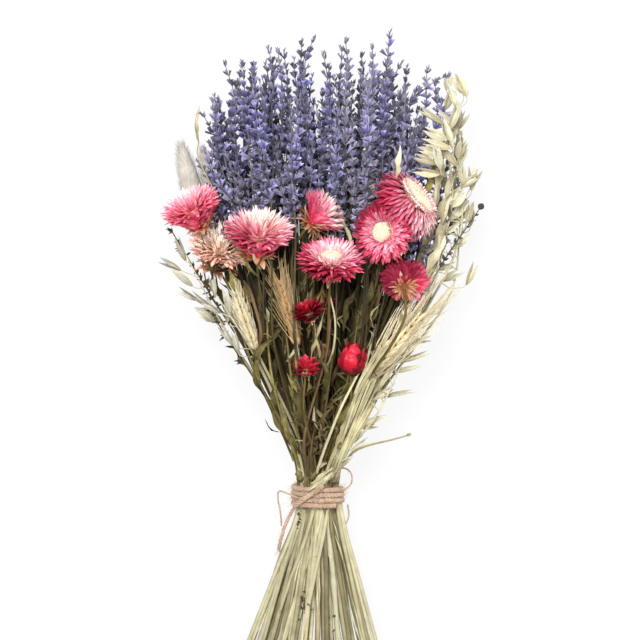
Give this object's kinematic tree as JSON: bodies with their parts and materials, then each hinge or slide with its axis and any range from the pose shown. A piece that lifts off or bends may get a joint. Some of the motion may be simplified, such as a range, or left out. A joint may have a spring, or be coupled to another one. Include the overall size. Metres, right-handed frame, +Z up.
{
  "type": "dried flower bunch",
  "caption": "Hand-tied bunch of dried lavender, strawflowers, oats, wheat and bunny tails, bound with twine and lying on its back.",
  "frame": {"origin": "under the middle of the bunch's box, on the surface it lies on", "axes": "+Y along the stems towards the flower heads, +Z up from the surface, +X to the right seen from above"},
  "size_m": [0.2262, 0.4484, 0.1183],
  "materials": {
    "lavender": "dry, soft matt",
    "strawflower_pink": "papery, slight sheen",
    "strawflower_crimson": "papery, slight sheen",
    "strawflower_faded": "papery, faded",
    "oat_straw": "dry straw, satin",
    "wheat_straw": "dry straw, satin",
    "plume": "soft fur",
    "dark_sprig": "dry, matt",
    "twig": "dry, matt",
    "twine": "soft spun fibre"
  },
  "bodies": {
    "root": {"bare_twig": "twig", "bunny_tail_inner": "plume", "bunny_tail_outer": "plume", "dark_sprig": "dark_sprig", "lavender_01": "lavender", "lavender_02": "lavender", "lavender_03": "lavender", "lavender_04": "lavender", "lavender_05": "lavender", "lavender_06": "lavender", "lavender_07": "lavender", "lavender_08": "lavender", "lavender_09": "lavender", "lavender_10": "lavender", "lavender_11": "lavender", "lavender_12": "lavender", "lavender_13": "lavender", "lavender_14": "lavender", "lavender_15": "lavender", "lavender_16": "lavender", "lavender_17": "lavender", "lavender_18": "lavender", "lavender_19": "lavender", "lavender_20": "lavender", "lavender_21": "lavender", "lavender_22": "lavender", "lavender_23": "lavender", "lavender_24": "lavender", "lavender_25": "lavender", "lavender_26": "lavender", "lavender_27": "lavender", "lavender_28": "lavender", "lavender_29": "lavender", "lavender_30": "lavender", "oat_left_inner": "oat_straw", "oat_left_low": "oat_straw", "oat_right_arching": "oat_straw", "oat_right_low": "oat_straw", "oat_right_outer": "oat_straw", "oat_right_tall": "oat_straw", "strawflower_dark_left": "strawflower_crimson", "strawflower_dark_right": "strawflower_crimson", "strawflower_left_cream_eye": "strawflower_pink", "strawflower_left_faded": "strawflower_faded", "strawflower_left_pink": "strawflower_pink", "strawflower_middle_cream_eye": "strawflower_pink", "strawflower_middle_cup": "strawflower_pink", "strawflower_right_facing": "strawflower_pink", "strawflower_right_side": "strawflower_pink", "strawflower_right_turned_away": "strawflower_pink", "strawflower_round_bud": "strawflower_crimson", "strawflower_small_bud": "strawflower_crimson", "twine_crossing": "twine", "twine_tail": "twine", "twine_wraps": "twine", "wheat_golden": "wheat_straw", "wheat_left_pale": "wheat_straw", "wheat_right": "wheat_straw"}
  },
  "joints": []
}
